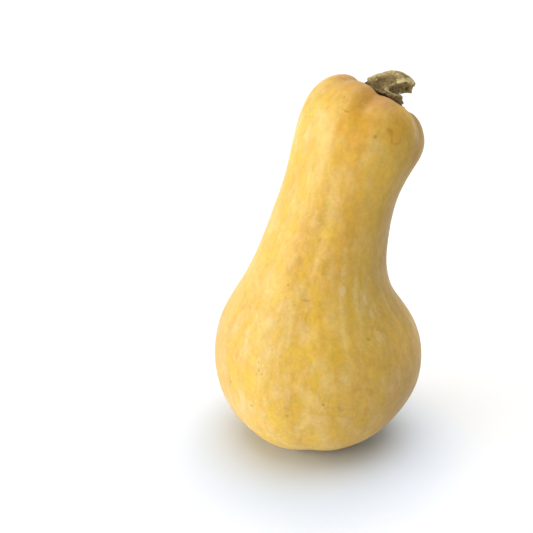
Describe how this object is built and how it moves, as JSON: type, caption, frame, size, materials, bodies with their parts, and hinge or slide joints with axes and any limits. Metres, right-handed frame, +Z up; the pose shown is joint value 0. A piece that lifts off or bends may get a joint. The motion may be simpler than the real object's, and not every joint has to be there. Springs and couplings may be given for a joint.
{
  "type": "butternut squash",
  "caption": "Ripe butternut squash standing on its blossom end, with a round bulb, a neck leaning to one side, a lobed shoulder and a short broken stem.",
  "frame": {"origin": "centre of the flat spot that the squash rests on, at the level of the surface", "axes": "+Z up; +X is the side that the neck leans to; +Y is away from the side that the picture shows"},
  "size_m": [0.1192, 0.119, 0.2108],
  "materials": {
    "rind": "smooth waxy rind, golden tan with paler streaks along its length, soft sheen",
    "stem": "dry grey-brown stem, ridged, dull, with a torn end"
  },
  "bodies": {
    "root": {"fruit": "rind", "stem": "stem"}
  },
  "joints": []
}
